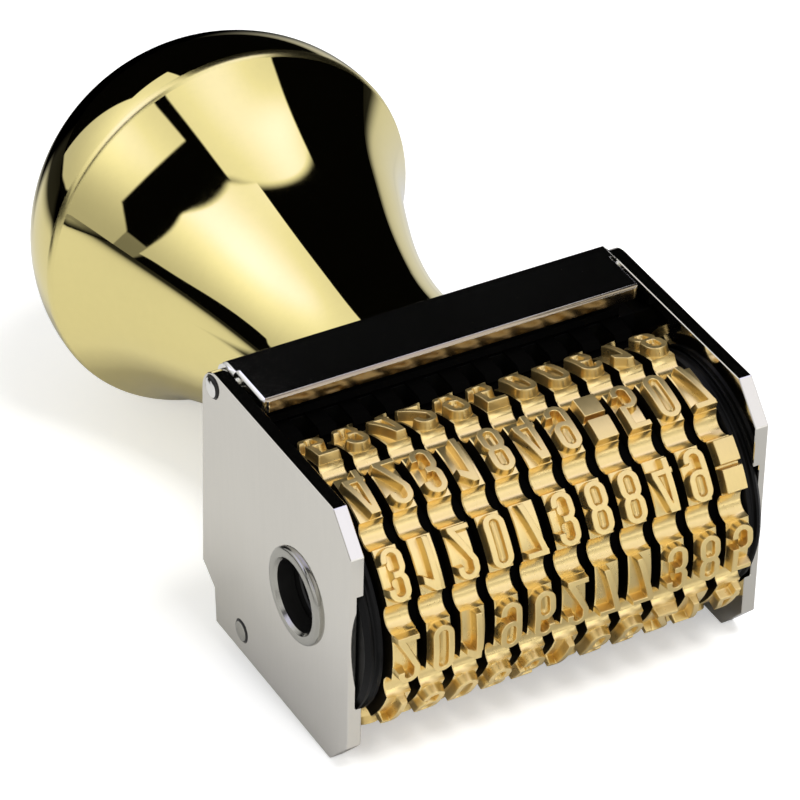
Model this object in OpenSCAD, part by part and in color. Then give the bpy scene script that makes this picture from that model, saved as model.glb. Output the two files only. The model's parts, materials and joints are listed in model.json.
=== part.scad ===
// Hand date stamp: a row of engraved brass number wheels in a metal head,
// with a palm knob behind it. Millimetres. The stamp lies on its side, as it
// rests on a table: +X runs along the wheels' shaft, the knob is towards +Y,
// +Z is up, and the origin is the middle of the hollow shaft.

/* [Head] */
// Height of the side cheeks
cheek_h = 34.8; // [33:0.1:38]
// Depth of the side cheeks, from the print side to the knob
cheek_d = 34.6; // [33.5:0.1:38]
// Thickness of each cheek
cheek_t = 1.7; // [1.4:0.1:2.4]
// Distance of the shaft's axis behind the cheeks' front edges
axis_set = 12.0; // [11:0.1:12.6]
// Length of the slanted front corners along the depth
nose_y = 4.0; // [2:0.1:4.4]
// Height of the slanted front corners
nose_z = 4.3; // [2:0.1:5]
// Radius of the rounded corner beside the lever's pin
heel_r = 3.5; // [2:0.1:4]
// How far the cheeks are cut in at the lower rear corner
notch_y = 3.0; // [1.5:0.1:3.4]
// Radius of the round recess in each cheek's inner face
recess_r = 14.3; // [13.6:0.1:14.8]
// Depth of that recess
recess_d = 0.8; // [0.5:0.1:1.0]

/* [Wheels] */
// Width of a number wheel
wheel_w = 3.0; // [2.6:0.1:3.2]
// Distance from one wheel to the next
wheel_pitch = 4.25; // [4.0:0.05:4.6]
// Radius at the raised characters' faces
face_r = 16.35; // [16.0:0.05:16.5]
// Height of the raised characters
relief = 1.1; // [0.7:0.05:1.3]
// Radius at the bottom of the scallops between characters
valley_r = 13.9; // [13.4:0.05:14.3]
// Radius of the scallops' round shape
scallop_r = 1.7; // [1.5:0.05:1.9]
// Width of a character along the shaft
fig_w = 2.6; // [2.2:0.1:2.8]
// Width of a character's strokes
stroke = 0.72; // [0.5:0.02:0.8]
// Angle of arc that each character takes up
char_arc = 21.8; // [18:0.1:23]

/* [Shaft] */
// Outer radius of the hollow shaft
shaft_r = 5.0; // [4.8:0.05:5.4]
// Radius of the bore through the shaft
bore_r = 4.3; // [3.8:0.05:4.4]
// Radius of the flared ring at each end of the shaft
flare_r = 5.8; // [5.6:0.05:6.4]
// How far the flared ring stands out of the cheek
flare_t = 0.6; // [0.4:0.05:1.0]

/* [Lever] */
// Distance of the lever's pin below the cheeks' top edges
pin_drop = 2.0; // [1.9:0.1:2.4]
// Distance of the lever's pin in front of the head's rear face
pin_back = 2.5; // [2.5:0.1:3.2]
// Radius of the lever's pin and of the tie pin
pin_r = 1.42; // [1.2:0.02:1.5]
// Length of the lever's plate from its front lip to the pin
lever_len = 7.9; // [6.5:0.1:8.5]
// Height of the lever's top face above its pin
lever_rise = 2.45; // [2.3:0.05:2.6]
// Thickness of the lever's plate
lever_t = 1.85; // [1.5:0.05:1.9]
// Width of the bevel along the lever's top edges
lever_edge = 0.35; // [0.2:0.05:0.6]
// Radius of the round corners at the lever's lip
lip_r = 0.8; // [0.5:0.1:1.5]

/* [Knob] */
// Largest radius of the knob
knob_r = 24.4; // [22:0.1:27]
// Distance of the knob's widest ring behind the head's rear face
knob_len = 44.5; // [40:0.1:50]
// Length of the domed end behind the widest ring
dome_len = 21.8; // [20:0.1:25]
// Radius of the knob's neck
neck_r = 13.15; // [12:0.05:13.6]
// Radius of the knob's foot, where it meets the head
foot_r = 14.2; // [13.7:0.05:14.6]
// Radius of the rounded rim at the widest ring
rim_r = 2.0; // [1.5:0.1:4]

/* [Hidden] */
$fn = 64;
wheel_count = 11;
chars = 10;
pitch_deg = 360 / chars;
first_deg = 2;
half_h = cheek_h / 2;
front_y = -axis_set;
rear_y = cheek_d - axis_set;
row_half = (wheel_count - 1) * wheel_pitch / 2 + wheel_w / 2;
side_room = 2.0;
gap_half = row_half + side_room;
out_half = gap_half + cheek_t;
land_r = face_r - relief;
scallop_c = valley_r + scallop_r;
lever_y = rear_y - pin_back;
pin_z = half_h - pin_drop;
tie_y = rear_y - 9.6;
tie_z = -half_h + 3.1;
knuckle_r = 2.2;
knuckle_gap = 0.6;
knuckle_len = 1.6;
knuckle_back = 1.0;
lever_top = pin_z + lever_rise;
block_top = pin_z - knuckle_r - knuckle_gap;
block_cut = face_r + 0.65;
leaf_t = 0.35;
nose_r = 1.2;
comb_deg = 128;
// The strip that clamps the comb, and its screws, in front of the lever's pin
screw_r = 0.8;
strip_d = 3.2;
strip_t = 0.9;
strip_y1 = lever_y - knuckle_r - 0.6;
ledge_y = strip_y1 - strip_d - 0.1;
screw_y = strip_y1 - strip_d / 2;
screw_x = row_half - 4.75;
screw_len = 3.0;
screw_tip = block_top + leaf_t + strip_t - screw_len;
head_r = 1.4;
head_t = 1.0;
disc_r = recess_r - 0.25;
disc_t = side_room + recess_d - 0.5;
stud_r = 4.0;
stud_deep = 17.6;
tenon_r = 1.5;
tenon_y = rear_y - 3.0;
tenon_z = 7.0;
spacer_r = valley_r - 0.5;
lever_dome = 0.5;
tie_dome = 0.3;
lever_side = 0.55;
knuckle_side = 0.06;
// Figure at the front of each wheel, and the wheels' blank places
front_figure = [2, 0, 1, 9, 6, 2, 7, 7, 3, 8, 5];
blank_place = [-1, -1, -1, -1, -1, -1, -1, 2, -1, -1, 1];
blank = 10;
// The stamp rests on the lower front corners and on the knob's rim, so the
// whole head leans forward by this angle.
rest_dy = rear_y + knob_len - (front_y + nose_y);
rest_dz = knob_r - rim_r - half_h;
rest_deg = atan2(rest_dz, rest_dy) + asin(rim_r / norm([rest_dy, rest_dz]));

// Leans the head's own axes into the rest position.
module rest() {
  rotate([rest_deg, 0, 0]) children();
}

// A cylinder along X from x0 to x1, at depth y and height z.
module bar_x(r, x0, x1, y = 0, z = 0) {
  translate([x0, y, z]) rotate([0, 90, 0]) cylinder(r = r, h = x1 - x0);
}

// A side profile drawn as (depth, height), pulled from x0 to x1.
module side_slab(x0, x1) {
  translate([x0, 0, 0]) rotate([90, 0, 90]) linear_extrude(x1 - x0) children();
}

// The cheek's outline: slanted front corners, one round and one cut corner.
module cheek_shape() {
  difference() {
    polygon([
      [front_y, -half_h + nose_z], [front_y + nose_y, -half_h],
      [rear_y - notch_y - 0.3, -half_h], [rear_y - notch_y + 0.1, -half_h + 4.7],
      [rear_y, -half_h + 6.8], [rear_y, half_h - heel_r],
      [rear_y - heel_r, half_h], [front_y + nose_y, half_h],
      [front_y, half_h - nose_z]
    ]);
    circle(r = shaft_r);
    translate([lever_y, pin_z]) circle(r = pin_r);
    translate([tie_y, tie_z]) circle(r = pin_r);
  }
  intersection() {
    difference() {
      translate([rear_y - heel_r, half_h - heel_r]) circle(r = heel_r);
      translate([lever_y, pin_z]) circle(r = pin_r);
    }
    polygon([
      [rear_y + 1, half_h - heel_r], [rear_y, half_h - heel_r],
      [rear_y - heel_r, half_h], [rear_y - heel_r, half_h + 1],
      [rear_y + 1, half_h + 1]
    ]);
  }
}

// Round tenons of the block sit in blind holes inside the cheeks.
module tenons(x0, x1, r) {
  bar_x(r, x0, x1, tenon_y, tenon_z);
  bar_x(r, x0, x1, tenon_y, -tenon_z);
}

module left_cheek() {
  color([0.80, 0.78, 0.74]) difference() {
    side_slab(-out_half, -gap_half) cheek_shape();
    bar_x(recess_r, -gap_half - recess_d, -gap_half + 1);
    tenons(-gap_half - 1.1, -gap_half + 1, tenon_r);
  }
}

module right_cheek() {
  color([0.80, 0.78, 0.74]) difference() {
    side_slab(gap_half, out_half) cheek_shape();
    bar_x(recess_r, gap_half - 1, gap_half + recess_d);
    tenons(gap_half - 1, gap_half + 1.1, tenon_r);
  }
}

// The black block that joins the cheeks behind the wheels. Its front is
// hollowed round the wheels, and its lower foot is held by the tie pin.
module back_block() {
  color([0.06, 0.06, 0.06]) difference() {
    union() {
      side_slab(-gap_half, gap_half) polygon([
        [tie_y - 2.7, -half_h + 0.5], [rear_y - notch_y - 0.3, -half_h + 0.5],
        [rear_y - notch_y + 0.1, -half_h + 4.7], [rear_y, -half_h + 6.8],
        [rear_y, block_top], [ledge_y, block_top], [ledge_y, 0], [tie_y - 2.7, 0]
      ]);
      tenons(-gap_half - 1.0, gap_half + 1.0, tenon_r);
    }
    bar_x(block_cut, -gap_half, gap_half);
    bar_x(pin_r, -out_half, out_half, tie_y, tie_z);
    rotate([-90, 0, 0]) cylinder(r = stud_r, h = cheek_d);
    strip_screw_places() translate([0, 0, screw_tip]) cylinder(r = screw_r, h = half_h);
  }
}

// The lever: a flat plate that closes the top of the head and lifts about
// its pin to bare the detent comb. Its knuckle fills the gap between the cheeks.
module lever() {
  x = gap_half - knuckle_side;
  color([0.78, 0.77, 0.74]) difference() {
    union() {
      lever_plate();
      intersection() {
        side_slab(-x, x) polygon([
          [lever_y - knuckle_len, lever_top - lever_t], [lever_y - knuckle_len, lever_top],
          [lever_y + knuckle_back - lever_edge, lever_top],
          [lever_y + knuckle_back, lever_top - lever_edge], [lever_y + knuckle_back, pin_z],
          [lever_y - knuckle_r + 0.05, pin_z], [lever_y - knuckle_r + 0.05, lever_top - lever_t]
        ]);
        lever_section(x, pin_z - 1);
      }
      bar_x(knuckle_r, -x, x, lever_y, pin_z);
    }
    bar_x(pin_r + 0.05, -gap_half, gap_half, lever_y, pin_z);
  }
}

// The lever's front view, with both side edges bevelled, pulled along its depth.
module lever_section(x, low) {
  translate([0, lever_y + 2 * knuckle_r, 0]) rotate([90, 0, 0])
    linear_extrude(lever_len + 4 * knuckle_r) polygon([
      [-x, low], [x, low], [x, lever_top - lever_edge], [x - lever_edge, lever_top],
      [-x + lever_edge, lever_top], [-x, lever_top - lever_edge]
    ]);
}

// The plate in front of the knuckle: bevelled along its top edges, with
// round corners at the lip.
module lever_plate() {
  x = gap_half - lever_side;
  y = lever_y - lever_len;
  z = lever_top - lever_t;
  intersection() {
    side_slab(-x, x) polygon([
      [y, z], [y, lever_top - lever_edge], [y + lever_edge, lever_top],
      [lever_y - 1, lever_top], [lever_y - 1, z]
    ]);
    lever_section(x, z);
    translate([0, 0, z]) linear_extrude(lever_t) union() {
      translate([-x, y + lip_r]) square([2 * x, lever_len]);
      translate([-x + lip_r, y]) square([2 * (x - lip_r), lever_len]);
      translate([-x + lip_r, y + lip_r]) circle(r = lip_r);
      translate([x - lip_r, y + lip_r]) circle(r = lip_r);
    }
  }
}

// A pin through both cheeks, whose domed ends stand a little proud.
module pin_body(y, z, proud) {
  bar_x(pin_r, -out_half, out_half, y, z);
  for (s = [-1, 1]) {
    translate([s * out_half, y, z]) rotate([0, s * 90, 0])
      rotate_extrude() polygon([[0, 0], [pin_r, 0], [pin_r * 0.92, proud * 0.42],
        [pin_r * 0.72, proud * 0.74], [pin_r * 0.4, proud * 0.94], [0, proud]]);
  }
}

module lever_pin() {
  color([0.86, 0.86, 0.84]) pin_body(lever_y, pin_z, lever_dome);
}

module tie_pin() {
  color([0.86, 0.86, 0.84]) pin_body(tie_y, tie_z, tie_dome);
}

// The hollow shaft, with its left end flared over the cheek.
module hollow_shaft() {
  color([0.72, 0.70, 0.66]) difference() {
    union() {
      bar_x(shaft_r, -out_half, out_half + flare_t);
      translate([-out_half, 0, 0]) rotate([0, -90, 0]) flare_ring(0);
    }
    bar_x(bore_r, -out_half - 5, out_half + 5);
  }
}

// A ring with a rounded outer edge, lying on z = 0.
module flare_ring(inner) {
  rotate_extrude() polygon([[inner, 0], [flare_r, 0], [flare_r, flare_t * 0.45],
    [flare_r - flare_t * 0.2, flare_t * 0.8], [flare_r - flare_t * 0.55, flare_t],
    [inner, flare_t]]);
}

module shaft_ring() {
  color([0.72, 0.70, 0.66]) translate([out_half, 0, 0]) rotate([0, 90, 0])
    flare_ring(shaft_r);
}

// A black disc between the end wheel and the cheek, with a groove in its rim.
module end_disc_shape() {
  rotate_extrude() polygon([
    [shaft_r, 0], [disc_r - 0.5, 0], [disc_r, 0.3], [disc_r, 0.75],
    [disc_r - 0.35, 0.95], [disc_r - 0.35, 1.25], [disc_r, 1.45], [disc_r, disc_t - 0.5],
    [disc_r - 0.5, disc_t], [shaft_r, disc_t]
  ]);
}

module left_end_disc() {
  color([0.05, 0.05, 0.05]) translate([-row_half - 0.3, 0, 0])
    rotate([0, -90, 0]) end_disc_shape();
}

module right_end_disc() {
  color([0.05, 0.05, 0.05]) translate([row_half + 0.3, 0, 0])
    rotate([0, 90, 0]) end_disc_shape();
}

// Thin rings that keep the wheels apart on the shaft.
module wheel_spacers() {
  free = wheel_pitch - wheel_w;
  color([0.07, 0.07, 0.07]) for (i = [0:wheel_count - 2]) {
    x = -row_half + wheel_w + i * wheel_pitch;
    difference() {
      bar_x(spacer_r, x + 0.03, x + free - 0.03);
      bar_x(shaft_r, x - 1, x + free + 1);
    }
  }
}

// One number wheel: a disc with scalloped edge and ten raised characters.
module number_wheel(i) {
  x = -row_half + i * wheel_pitch;
  difference() {
    bar_x(land_r, x, x + wheel_w);
    bar_x(shaft_r + 0.05, x - 1, x + wheel_w + 1);
    for (k = [0:chars - 1]) {
      a = first_deg + pitch_deg * (k + 0.5);
      bar_x(scallop_r, x - 1, x + wheel_w + 1, -cos(a) * scallop_c, sin(a) * scallop_c);
    }
  }
  for (k = [0:chars - 1]) {
    figure = k == blank_place[i] ? blank : (front_figure[i] + k) % chars;
    raised_char(x + wheel_w / 2, first_deg + pitch_deg * k, figure);
  }
}

// One raised character at the given angle above the front. The flat figure is
// pulled out from the axis and cut to the round face of the wheel.
module raised_char(x, a, figure) {
  intersection() {
    difference() {
      bar_x(face_r, x - fig_w, x + fig_w);
      bar_x(land_r - 0.15, x - 2 * fig_w, x + 2 * fig_w);
    }
    translate([x, 0, 0]) rotate([-a, 0, 0]) rotate([90, 0, 0])
      translate([0, 0, land_r / 2]) linear_extrude(land_r) mirror([0, 1, 0]) figure_shape(figure);
  }
}

// A closed loop with round ends, centred at height y, as tall as 2 * half.
module loop(y, half) {
  difference() {
    stadium(y, half, fig_w / 2);
    stadium(y, half - stroke * 0.85, fig_w / 2 - stroke);
  }
}

module stadium(y, half, r) {
  translate([-r, y - half + r]) square([2 * r, 2 * (half - r)]);
  translate([0, y + half - r]) circle(r = r);
  translate([0, y - half + r]) circle(r = r);
}

// A flat stroke box between two corners.
module block(x0, y0, x1, y1) {
  translate([x0, y0]) square([x1 - x0, y1 - y0]);
}

// The figures 0 to 9, upright, and figure 10, a blank pair of blocks.
module figure_shape(figure) {
  w = fig_w / 2;
  h = face_r * sin(char_arc / 2);
  low = -h;
  bowl = h * 0.56;
  top_y = h - bowl;
  if (figure == 0) loop(0, h);
  if (figure == 1) {
    block(-stroke * 0.2, low, stroke * 0.8, h);
    polygon([[-stroke * 0.1, h], [-w, h - 1.1], [-w, h - 2.0], [-stroke * 0.1, h - 1.2]]);
  }
  if (figure == 2) {
    difference() {
      loop(top_y, bowl);
      block(-w - 1, low, 0, top_y + 0.1);
      block(-1, low, w + 1, top_y - 0.35);
    }
    polygon([[w, top_y - 0.3], [w - stroke, top_y - 0.3], [-w, low + stroke * 0.8], [-w, low],
      [-w + stroke * 1.1, low + stroke * 0.5]]);
    block(-w, low, w, low + stroke * 0.85);
  }
  if (figure == 3) {
    difference() {
      union() {
        loop(top_y, bowl);
        loop(-top_y, bowl);
      }
      block(-w - 1, -top_y - 0.1, -w + stroke * 1.35, top_y + 0.1);
    }
  }
  if (figure == 4) {
    block(w - stroke * 1.3, low, w - stroke * 0.3, h);
    block(-w, low + 1.2, w, low + 1.2 + stroke * 0.85);
    polygon([[w - stroke, h], [w - stroke * 1.9, h], [-w, low + 1.3 + stroke * 0.8],
      [-w, low + 1.2], [-w + stroke * 0.9, low + 1.3 + stroke * 0.5]]);
  }
  if (figure == 5) {
    block(-w + 0.05, h - stroke * 0.85, w, h);
    block(-w + 0.05, -0.1, -w + 0.05 + stroke, h);
    difference() {
      loop(-top_y, bowl);
      block(-w - 1, -top_y - 0.15, -w + stroke * 1.1, -0.05);
    }
  }
  if (figure == 6) six();
  if (figure == 7) {
    block(-w, h - stroke * 0.9, w, h);
    polygon([[w, h - stroke * 0.5], [w - stroke, h - stroke * 0.5], [-w * 0.7, low],
      [-w * 0.7 + stroke, low]]);
  }
  if (figure == 8) {
    loop(top_y, bowl);
    loop(-top_y, bowl);
  }
  if (figure == 9) rotate(180) six();
  if (figure == 10) {
    block(-w, low, w, -0.3);
    block(-w, 0.3, w, h);
  }
}

module six() {
  h = face_r * sin(char_arc / 2);
  bowl = h * 0.6;
  loop(-(h - bowl), bowl);
  difference() {
    loop(0, h);
    block(-fig_w, -h - 1, fig_w, -h + bowl);
    block(-fig_w / 2 + stroke, -h, fig_w, h - fig_w / 2 - 0.25);
  }
}

module wheel_01() { color([0.83, 0.66, 0.33]) number_wheel(0); }
module wheel_02() { color([0.83, 0.66, 0.33]) number_wheel(1); }
module wheel_03() { color([0.83, 0.66, 0.33]) number_wheel(2); }
module wheel_04() { color([0.83, 0.66, 0.33]) number_wheel(3); }
module wheel_05() { color([0.83, 0.66, 0.33]) number_wheel(4); }
module wheel_06() { color([0.83, 0.66, 0.33]) number_wheel(5); }
module wheel_07() { color([0.83, 0.66, 0.33]) number_wheel(6); }
module wheel_08() { color([0.83, 0.66, 0.33]) number_wheel(7); }
module wheel_09() { color([0.83, 0.66, 0.33]) number_wheel(8); }
module wheel_10() { color([0.83, 0.66, 0.33]) number_wheel(9); }
module wheel_11() { color([0.83, 0.66, 0.33]) number_wheel(10); }

// Side view of one leaf: flat root, a shank and a round nose in a scallop.
module leaf_shape() {
  c = valley_r + nose_r + 0.06;
  cy = -cos(comb_deg) * c;
  cz = sin(comb_deg) * c;
  translate([cy, cz]) difference() {
    circle(r = nose_r);
    circle(r = nose_r - leaf_t);
    translate([-3, 0.35]) square([6, 3]);
  }
  polygon([
    [cy + 0.84, cz + 0.25], [cy + 1.19, cz + 0.1], [cy + 1.75, block_top],
    [strip_y1, block_top], [strip_y1, block_top + leaf_t], [cy + 1.5, block_top + leaf_t],
    [cy + 0.83, cz + 0.35]
  ]);
}

// The spring comb: one leaf per wheel on a common root.
module detent_comb() {
  color([0.16, 0.16, 0.17]) difference() {
    union() {
      for (i = [0:wheel_count - 1]) {
        x = -row_half + i * wheel_pitch;
        side_slab(x + 0.4, x + wheel_w - 0.4) leaf_shape();
      }
      translate([-row_half, strip_y1 - strip_d, block_top]) cube([2 * row_half, strip_d, leaf_t]);
    }
    strip_screw_places() cylinder(r = screw_r, h = cheek_h, center = true);
  }
}

// The clamping strip over the comb's root.
module comb_strip() {
  color([0.12, 0.12, 0.12]) difference() {
    translate([-row_half, strip_y1 - strip_d, block_top + leaf_t])
      cube([2 * row_half, strip_d, strip_t]);
    strip_screw_places() cylinder(r = screw_r, h = cheek_h, center = true);
  }
}

module strip_screw_places() {
  for (x = [-screw_x, 0, screw_x]) {
    translate([x, screw_y, 0]) children();
  }
}

// Slotted screws that hold the strip and the comb on the block.
module strip_screws() {
  seat = block_top + leaf_t + strip_t;
  color([0.2, 0.2, 0.2]) strip_screw_places() {
    translate([0, 0, screw_tip]) cylinder(r = screw_r, h = seat - screw_tip);
    translate([0, 0, seat]) difference() {
      cylinder(r = head_r, h = head_t);
      translate([-0.2, -head_r - 1, head_t * 0.6]) cube([0.4, 2 * head_r + 2, head_t]);
    }
  }
}

// The knob's outline runs smoothly through known rings: the foot, the neck,
// three rings of the swell and the cone that ends at the rounded rim.
rim_deg = 33;
rim_y0 = knob_len - rim_r * sin(rim_deg);
rim_z0 = knob_r - rim_r * (1 - cos(rim_deg));
ring_y = [0, 0.267 * knob_len, 0.402 * knob_len, 0.55 * knob_len, 0.70 * knob_len,
  0.854 * knob_len, rim_y0];
ring_r = [foot_r, neck_r, neck_r + 0.65, neck_r + 2.25, neck_r + 4.6,
  0.675 * knob_r + 0.325 * neck_r, rim_z0];
ring_s = [-0.16, 0, 0.19, 0.294, 0.465, tan(rim_deg), tan(rim_deg)];

function span(p0, p1, m0, m1, w, t) =
  (2 * t * t * t - 3 * t * t + 1) * p0 + (t * t * t - 2 * t * t + t) * m0 * w
  + (3 * t * t - 2 * t * t * t) * p1 + (t * t * t - t * t) * m1 * w;

module knob_profile() {
  front = [for (k = [0:5]) for (j = [0:4]) let (w = ring_y[k + 1] - ring_y[k])
    [span(ring_r[k], ring_r[k + 1], ring_s[k], ring_s[k + 1], w, j / 5),
      ring_y[k] + w * j / 5]];
  rim = [for (j = [0:5]) [knob_r - rim_r * (1 - cos(rim_deg * (1 - j / 6))),
    knob_len - rim_r * sin(rim_deg * (1 - j / 6))]];
  dome = [for (j = [0:23]) [knob_r * cos(90 * j / 24), knob_len + dome_len * sin(90 * j / 24)]];
  difference() {
    polygon(concat([[0, 0]], front, rim, dome, [[0, knob_len + dome_len]]));
    translate([-1, -1]) square([1 + stud_r, 1 + stud_deep + 0.4]);
  }
}

module handle_knob() {
  color([0.85, 0.70, 0.38]) translate([0, rear_y, 0]) rotate([-90, 0, 0])
    rotate_extrude() knob_profile();
}

module handle_stud() {
  color([0.6, 0.6, 0.6]) translate([0, block_cut + 0.2, 0]) rotate([-90, 0, 0])
    cylinder(r = stud_r, h = rear_y - block_cut - 0.2 + stud_deep);
}

rest() left_cheek();
rest() right_cheek();
rest() back_block();
rest() lever();
rest() lever_pin();
rest() tie_pin();
rest() hollow_shaft();
rest() shaft_ring();
rest() left_end_disc();
rest() right_end_disc();
rest() wheel_spacers();
rest() wheel_01();
rest() wheel_02();
rest() wheel_03();
rest() wheel_04();
rest() wheel_05();
rest() wheel_06();
rest() wheel_07();
rest() wheel_08();
rest() wheel_09();
rest() wheel_10();
rest() wheel_11();
rest() detent_comb();
rest() comb_strip();
rest() strip_screws();
rest() handle_knob();
rest() handle_stud();
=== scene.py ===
# %% [markdown]
# # A hand date stamp, dressed in Blender
# The object is a small printing tool: eleven brass number wheels stand in a row
# between two plated cheeks, and a palm knob of polished brass pushes them down.
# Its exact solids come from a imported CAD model. This lesson keeps every solid
# where it is and gives it the edges, the figures and the finishes of the real
# thing.

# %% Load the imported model
import json
import math

import bmesh
import bpy
import numpy as np
from mathutils import Matrix, Vector
from mathutils.geometry import delaunay_2d_cdt

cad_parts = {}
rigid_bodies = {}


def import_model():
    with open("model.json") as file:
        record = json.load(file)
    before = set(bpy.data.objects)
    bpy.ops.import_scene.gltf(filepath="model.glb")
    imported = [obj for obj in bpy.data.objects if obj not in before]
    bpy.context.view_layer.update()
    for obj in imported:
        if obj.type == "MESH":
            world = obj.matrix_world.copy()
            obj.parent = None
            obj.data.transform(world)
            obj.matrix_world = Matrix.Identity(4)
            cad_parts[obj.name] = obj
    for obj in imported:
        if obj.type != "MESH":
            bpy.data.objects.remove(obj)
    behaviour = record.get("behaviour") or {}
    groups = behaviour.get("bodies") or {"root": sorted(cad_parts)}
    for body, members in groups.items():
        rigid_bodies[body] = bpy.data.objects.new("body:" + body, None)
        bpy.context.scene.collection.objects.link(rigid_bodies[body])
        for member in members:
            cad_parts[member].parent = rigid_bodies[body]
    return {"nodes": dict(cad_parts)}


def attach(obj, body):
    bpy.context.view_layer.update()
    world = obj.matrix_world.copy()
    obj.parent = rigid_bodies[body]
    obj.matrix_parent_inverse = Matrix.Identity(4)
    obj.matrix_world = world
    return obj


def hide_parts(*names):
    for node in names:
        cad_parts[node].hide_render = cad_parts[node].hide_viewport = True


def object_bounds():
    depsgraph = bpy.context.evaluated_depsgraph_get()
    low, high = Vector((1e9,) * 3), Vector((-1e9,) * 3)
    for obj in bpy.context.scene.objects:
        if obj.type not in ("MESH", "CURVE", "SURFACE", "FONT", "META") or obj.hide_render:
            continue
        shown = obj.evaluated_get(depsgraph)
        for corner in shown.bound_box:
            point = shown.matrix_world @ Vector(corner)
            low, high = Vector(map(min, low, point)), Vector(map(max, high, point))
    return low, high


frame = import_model()
cad_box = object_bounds()
MM = 0.001

# %% [markdown]
# ## The head's own axes
# The stamp lies on its side and leans on its knob, so the whole head is turned
# about the wheels' shaft by a few degrees. New pieces could be drawn tilted, but
# sizes are easier to read along the head's own square axes. So they are drawn
# there in millimetres, and one matrix then carries them to their place.

# %% From the head's millimetres to the scene's metres
rest_angle = math.radians(5.3317)
to_place = Matrix.Rotation(rest_angle, 4, "X") @ Matrix.Scale(MM, 4)
ground = cad_box[0].z
print("the head leans by", round(math.degrees(rest_angle), 2), "degrees")

# %% [markdown]
# ## The camera
# A camera could be placed by eye, but a picture's perspective fixes where its
# camera stood. The head has square corners, so its edges gave the camera's
# place, its turn and its long lens. The camera is built from three directions:
# right, up and back.

# %% Camera
view_azimuth, view_elevation, view_roll = (math.radians(a) for a in (-28.193, 31.708, -1.693))
back = Vector((math.sin(view_azimuth) * math.cos(view_elevation),
               -math.cos(view_azimuth) * math.cos(view_elevation), math.sin(view_elevation)))
level = Vector((math.cos(view_azimuth), math.sin(view_azimuth), 0))
right = math.cos(view_roll) * level + math.sin(view_roll) * back.cross(level)
up = back.cross(right)

camera_data = bpy.data.cameras.new("camera")
camera_data.sensor_width = 36
camera_data.lens = 228.78
camera_data.clip_start, camera_data.clip_end = 0.01, 20
camera = bpy.data.objects.new("camera", camera_data)
camera.matrix_world = Matrix.Translation(Vector((-235.479, -415.341, 312.061)) * MM) @ Matrix(
    (right, up, back)).transposed().to_4x4()
bpy.context.scene.collection.objects.link(camera)
bpy.context.scene.camera = camera
print("camera stands", round(camera.location.length * 1000), "mm from the shaft")

# %% [markdown]
# ## Building node trees
# Materials and Geometry Nodes are both trees of nodes and links. They could be
# drawn by hand in the editor, but a script can be read and run again. A very
# small helper keeps its cells short: it adds a node, sets its options, and feeds
# each named input with a value or with another node's output. The other helpers
# are built on it, for the sums that come back all the time.

# %% Helpers for node trees
def add(tree, kind, inputs=None, **options):
    node = tree.nodes.new(kind)
    for key, value in options.items():
        setattr(node, key, value)
    for key, value in (inputs or {}).items():
        socket = node.inputs[key]
        if isinstance(value, bpy.types.NodeSocket):
            tree.links.new(value, socket)
        else:
            socket.default_value = value
    return node


def output(tree, kind, inputs=None, **options):
    """Adds a node and gives its first output."""
    return add(tree, kind, inputs, **options).outputs[0]


def calc(tree, operation, *values):
    node = add(tree, "ShaderNodeMath", operation=operation)
    for socket, value in zip(node.inputs, values):
        if isinstance(value, bpy.types.NodeSocket):
            tree.links.new(value, socket)
        else:
            socket.default_value = value
    return node.outputs[0]


def combined(tree, operation, values):
    """One result of many values, such as their sum or the largest of them."""
    total = values[0]
    for value in values[1:]:
        total = calc(tree, operation, total, value)
    return total


def hypotenuse(tree, a, b, tiny=0.0):
    squares = calc(tree, "ADD", calc(tree, "MULTIPLY", b, b), tiny)
    return calc(tree, "SQRT", calc(tree, "ADD", calc(tree, "MULTIPLY", a, a), squares))


def vector(tree, x=0.0, y=0.0, z=0.0):
    return output(tree, "ShaderNodeCombineXYZ", {"X": x, "Y": y, "Z": z})


def ramp(tree, value, low, high, at_low=0.0, at_high=1.0, smooth=True):
    """Goes from at_low to at_high while value goes from low to high, and stays there."""
    return output(tree, "ShaderNodeMapRange", {0: value, 1: low, 2: high, 3: at_low, 4: at_high},
                  interpolation_type="SMOOTHSTEP" if smooth else "LINEAR")


# %% [markdown]
# ## The studio
# Polished metal shows the room it stands in, so the room matters more than the
# lamps. A real studio hangs large lit sheets round the object, and they could be
# modelled as glowing planes. Here they are drawn into the world's light, because
# then the camera sees plain white where mirrors see a dark room with bright
# screens. They are drawn on a map of the sky: the zenith is in its middle, +X to
# the right, +Y up, and distances are degrees.

# %% The map of the sky
world = bpy.data.worlds.new("studio")
world.use_nodes = True
bpy.context.scene.world = world
sky = world.node_tree
sky.nodes.clear()

degrees_in_radian = 180 / math.pi
direction = add(sky, "ShaderNodeSeparateXYZ",
                {0: add(sky, "ShaderNodeTexCoord").outputs["Generated"]}).outputs
flat_length = hypotenuse(sky, direction[0], direction[1], 1e-6)
from_zenith = calc(sky, "MULTIPLY", calc(sky, "ARCCOSINE", direction[2]), degrees_in_radian)
map_x = calc(sky, "DIVIDE", calc(sky, "MULTIPLY", direction[0], from_zenith), flat_length)
map_y = calc(sky, "DIVIDE", calc(sky, "MULTIPLY", direction[1], from_zenith), flat_length)
map_point = vector(sky, map_x, map_y, 1.0)
print("nodes that map the sky:", len(sky.nodes))

# %% [markdown]
# ## Screens and swellings
# A screen is a convex sheet with soft edges. An image of the sky could hold it,
# but a formula stays sharp and is easy to move: its light is a product of soft
# steps, one across each side. A real soft screen is brightest in the middle, so
# a few broad swellings are laid over the screens.

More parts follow.
